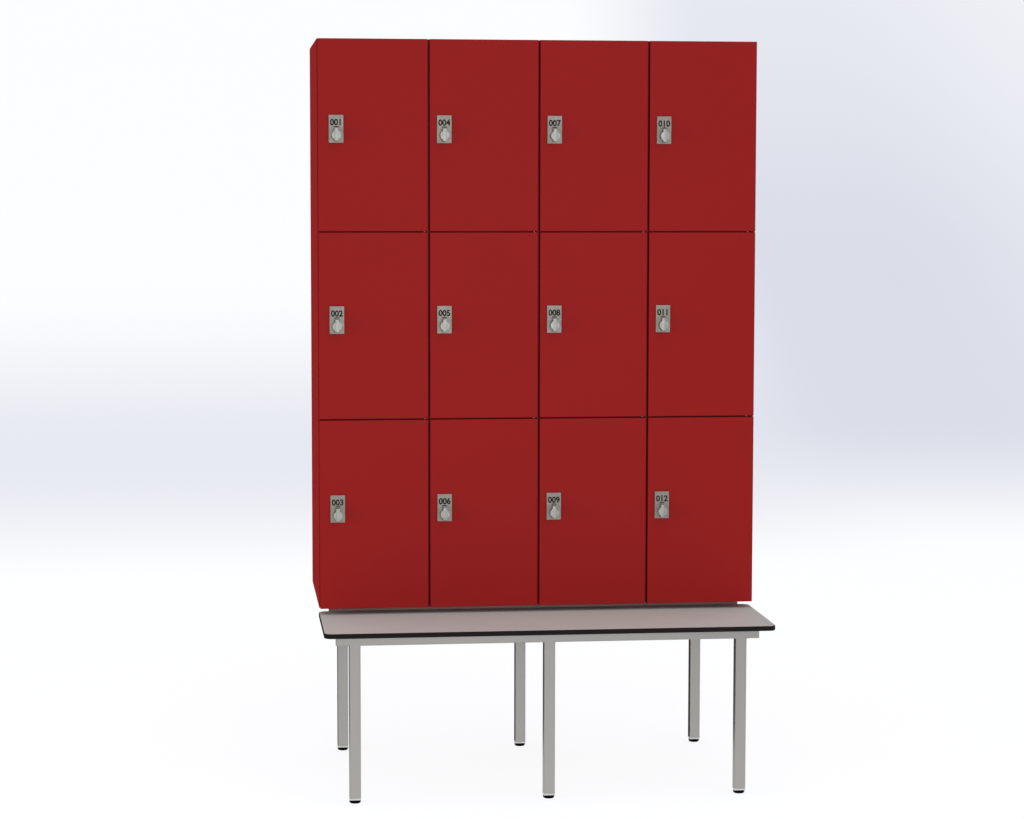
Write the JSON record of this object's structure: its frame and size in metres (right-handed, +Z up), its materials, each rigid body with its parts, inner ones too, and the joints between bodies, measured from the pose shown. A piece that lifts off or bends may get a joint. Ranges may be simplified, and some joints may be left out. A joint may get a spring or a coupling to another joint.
{
  "type": "locker with bench",
  "caption": "Free-standing board locker with hinged compartment doors and knob locks, on a welded tube stand that also carries a bench board in front.",
  "frame": {"origin": "on the floor, under the middle of the whole object's box", "axes": "+X to the right as seen from the front, +Y from the bench's front edge to the locker's back, +Z up"},
  "size_m": [1.2, 0.803, 2.0231],
  "materials": {
    "red_board": "melamine-faced particle board with a fine-grained satin face",
    "grey_laminate": "satin grey compact laminate with a black core",
    "grey_powder_coat": "satin grey powder coat on steel tube",
    "zinc_steel": "bright zinc plate",
    "nickel_lock": "matt nickel-plated die casting",
    "nickel_knob": "satin nickel-plated die casting",
    "black_plastic": "moulded black plastic"
  },
  "bodies": {
    "root": {"side_left": "red_board", "side_right": "red_board", "top_panel": "red_board", "bottom_panel": "red_board", "back_panel": "red_board", "partition_1": "red_board", "partition_2": "red_board", "partition_3": "red_board", "shelf_1": "red_board", "shelf_2": "red_board", "hinge_strip_1": "zinc_steel", "hinge_strip_2": "zinc_steel", "hinge_strip_3": "zinc_steel", "hinge_strip_4": "zinc_steel", "bench_board": "grey_laminate", "stand_frame": "grey_powder_coat", "bearer_front": "grey_powder_coat", "bearer_rear": "grey_powder_coat", "foot_1": "black_plastic", "foot_2": "black_plastic", "foot_3": "black_plastic", "foot_4": "black_plastic", "foot_5": "black_plastic", "foot_6": "black_plastic"},
    "door_01": {"door_01": "red_board", "lock_01": "nickel_lock"},
    "door_02": {"door_02": "red_board", "lock_02": "nickel_lock"},
    "door_03": {"door_03": "red_board", "lock_03": "nickel_lock"},
    "door_04": {"door_04": "red_board", "lock_04": "nickel_lock"},
    "door_05": {"door_05": "red_board", "lock_05": "nickel_lock"},
    "door_06": {"door_06": "red_board", "lock_06": "nickel_lock"},
    "door_07": {"door_07": "red_board", "lock_07": "nickel_lock"},
    "door_08": {"door_08": "red_board", "lock_08": "nickel_lock"},
    "door_09": {"door_09": "red_board", "lock_09": "nickel_lock"},
    "door_10": {"door_10": "red_board", "lock_10": "nickel_lock"},
    "door_11": {"door_11": "red_board", "lock_11": "nickel_lock"},
    "door_12": {"door_12": "red_board", "lock_12": "nickel_lock"},
    "knob_01": {"knob_01": "nickel_knob"},
    "knob_02": {"knob_02": "nickel_knob"},
    "knob_03": {"knob_03": "nickel_knob"},
    "knob_04": {"knob_04": "nickel_knob"},
    "knob_05": {"knob_05": "nickel_knob"},
    "knob_06": {"knob_06": "nickel_knob"},
    "knob_07": {"knob_07": "nickel_knob"},
    "knob_08": {"knob_08": "nickel_knob"},
    "knob_09": {"knob_09": "nickel_knob"},
    "knob_10": {"knob_10": "nickel_knob"},
    "knob_11": {"knob_11": "nickel_knob"},
    "knob_12": {"knob_12": "nickel_knob"}
  },
  "joints": [
    {"name": "door_01_hinge", "type": "hinge", "parent": "root", "child": "door_01", "pos_m": [-0.309, -0.0895, 1.76581], "axis": [0, 0, 1], "range_deg": [0, 100]},
    {"name": "door_02_hinge", "type": "hinge", "parent": "root", "child": "door_02", "pos_m": [-0.309, -0.0895, 1.2531], "axis": [0, 0, 1], "range_deg": [0, 100]},
    {"name": "door_03_hinge", "type": "hinge", "parent": "root", "child": "door_03", "pos_m": [-0.309, -0.0895, 0.74039], "axis": [0, 0, 1], "range_deg": [0, 100]},
    {"name": "door_04_hinge", "type": "hinge", "parent": "root", "child": "door_04", "pos_m": [-0.009, -0.0895, 1.76581], "axis": [0, 0, 1], "range_deg": [0, 100]},
    {"name": "door_05_hinge", "type": "hinge", "parent": "root", "child": "door_05", "pos_m": [-0.009, -0.0895, 1.2531], "axis": [0, 0, 1], "range_deg": [0, 100]},
    {"name": "door_06_hinge", "type": "hinge", "parent": "root", "child": "door_06", "pos_m": [-0.009, -0.0895, 0.74039], "axis": [0, 0, 1], "range_deg": [0, 100]},
    {"name": "door_07_hinge", "type": "hinge", "parent": "root", "child": "door_07", "pos_m": [0.291, -0.0895, 1.76581], "axis": [0, 0, 1], "range_deg": [0, 100]},
    {"name": "door_08_hinge", "type": "hinge", "parent": "root", "child": "door_08", "pos_m": [0.291, -0.0895, 1.2531], "axis": [0, 0, 1], "range_deg": [0, 100]},
    {"name": "door_09_hinge", "type": "hinge", "parent": "root", "child": "door_09", "pos_m": [0.291, -0.0895, 0.74039], "axis": [0, 0, 1], "range_deg": [0, 100]},
    {"name": "door_10_hinge", "type": "hinge", "parent": "root", "child": "door_10", "pos_m": [0.591, -0.0895, 1.76581], "axis": [0, 0, 1], "range_deg": [0, 100]},
    {"name": "door_11_hinge", "type": "hinge", "parent": "root", "child": "door_11", "pos_m": [0.591, -0.0895, 1.2531], "axis": [0, 0, 1], "range_deg": [0, 100]},
    {"name": "door_12_hinge", "type": "hinge", "parent": "root", "child": "door_12", "pos_m": [0.591, -0.0895, 0.74039], "axis": [0, 0, 1], "range_deg": [0, 100]},
    {"name": "knob_01_turn", "type": "hinge", "parent": "door_01", "child": "knob_01", "pos_m": [-0.5494, -0.0985, 1.76581], "axis": [0, 1, 0], "range_deg": [0, 90]},
    {"name": "knob_02_turn", "type": "hinge", "parent": "door_02", "child": "knob_02", "pos_m": [-0.5494, -0.0985, 1.2531], "axis": [0, 1, 0], "range_deg": [0, 90]},
    {"name": "knob_03_turn", "type": "hinge", "parent": "door_03", "child": "knob_03", "pos_m": [-0.5494, -0.0985, 0.74039], "axis": [0, 1, 0], "range_deg": [0, 90]},
    {"name": "knob_04_turn", "type": "hinge", "parent": "door_04", "child": "knob_04", "pos_m": [-0.2584, -0.0985, 1.76581], "axis": [0, 1, 0], "range_deg": [0, 90]},
    {"name": "knob_05_turn", "type": "hinge", "parent": "door_05", "child": "knob_05", "pos_m": [-0.2584, -0.0985, 1.2531], "axis": [0, 1, 0], "range_deg": [0, 90]},
    {"name": "knob_06_turn", "type": "hinge", "parent": "door_06", "child": "knob_06", "pos_m": [-0.2584, -0.0985, 0.74039], "axis": [0, 1, 0], "range_deg": [0, 90]},
    {"name": "knob_07_turn", "type": "hinge", "parent": "door_07", "child": "knob_07", "pos_m": [0.0416, -0.0985, 1.76581], "axis": [0, 1, 0], "range_deg": [0, 90]},
    {"name": "knob_08_turn", "type": "hinge", "parent": "door_08", "child": "knob_08", "pos_m": [0.0416, -0.0985, 1.2531], "axis": [0, 1, 0], "range_deg": [0, 90]},
    {"name": "knob_09_turn", "type": "hinge", "parent": "door_09", "child": "knob_09", "pos_m": [0.0416, -0.0985, 0.74039], "axis": [0, 1, 0], "range_deg": [0, 90]},
    {"name": "knob_10_turn", "type": "hinge", "parent": "door_10", "child": "knob_10", "pos_m": [0.3416, -0.0985, 1.76581], "axis": [0, 1, 0], "range_deg": [0, 90]},
    {"name": "knob_11_turn", "type": "hinge", "parent": "door_11", "child": "knob_11", "pos_m": [0.3416, -0.0985, 1.2531], "axis": [0, 1, 0], "range_deg": [0, 90]},
    {"name": "knob_12_turn", "type": "hinge", "parent": "door_12", "child": "knob_12", "pos_m": [0.3416, -0.0985, 0.74039], "axis": [0, 1, 0], "range_deg": [0, 90]}
  ]
}
